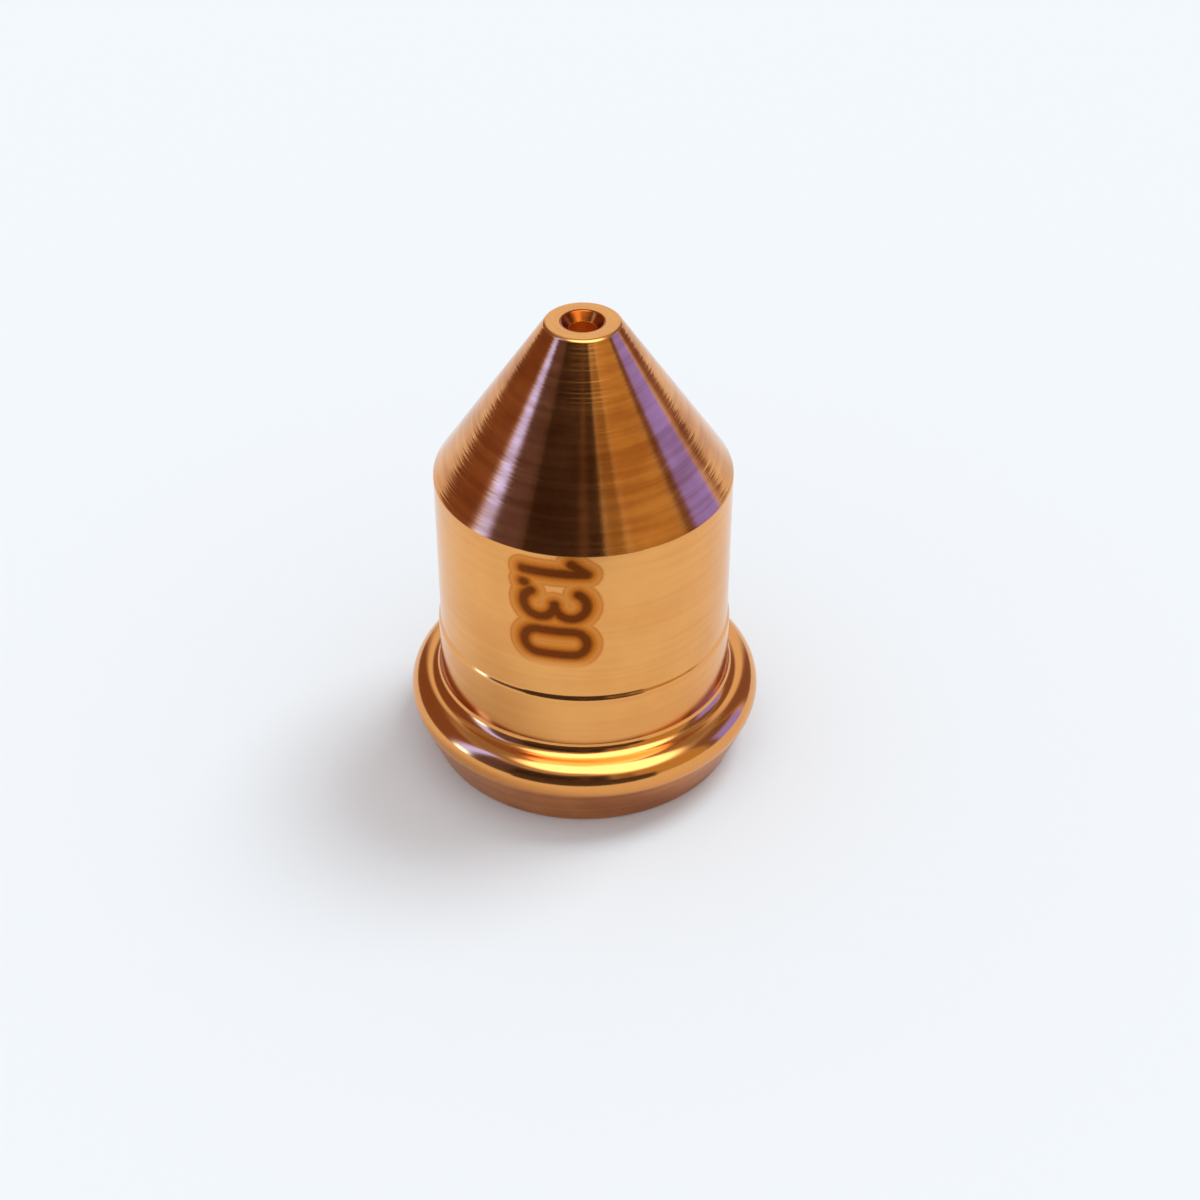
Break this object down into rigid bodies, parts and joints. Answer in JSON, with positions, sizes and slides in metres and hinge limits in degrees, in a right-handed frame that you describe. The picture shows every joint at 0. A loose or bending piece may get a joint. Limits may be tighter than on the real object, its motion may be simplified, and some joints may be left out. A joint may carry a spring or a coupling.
{
  "type": "plasma torch nozzle",
  "caption": "Turned copper nozzle for a plasma cutting torch: conical nose with a fine orifice, plain body, narrow locating land and a round-edged rear flange.",
  "frame": {"origin": "centre of the flat rear face that the nozzle stands on", "axes": "+Z along the torch axis, from the rear face out of the plasma orifice"},
  "size_m": [0.0176, 0.0176, 0.0236],
  "materials": {
    "copper": "bright turned copper, fine lathe rings on the nose and a satin foot"
  },
  "bodies": {
    "root": {"nozzle": "copper"}
  },
  "joints": []
}
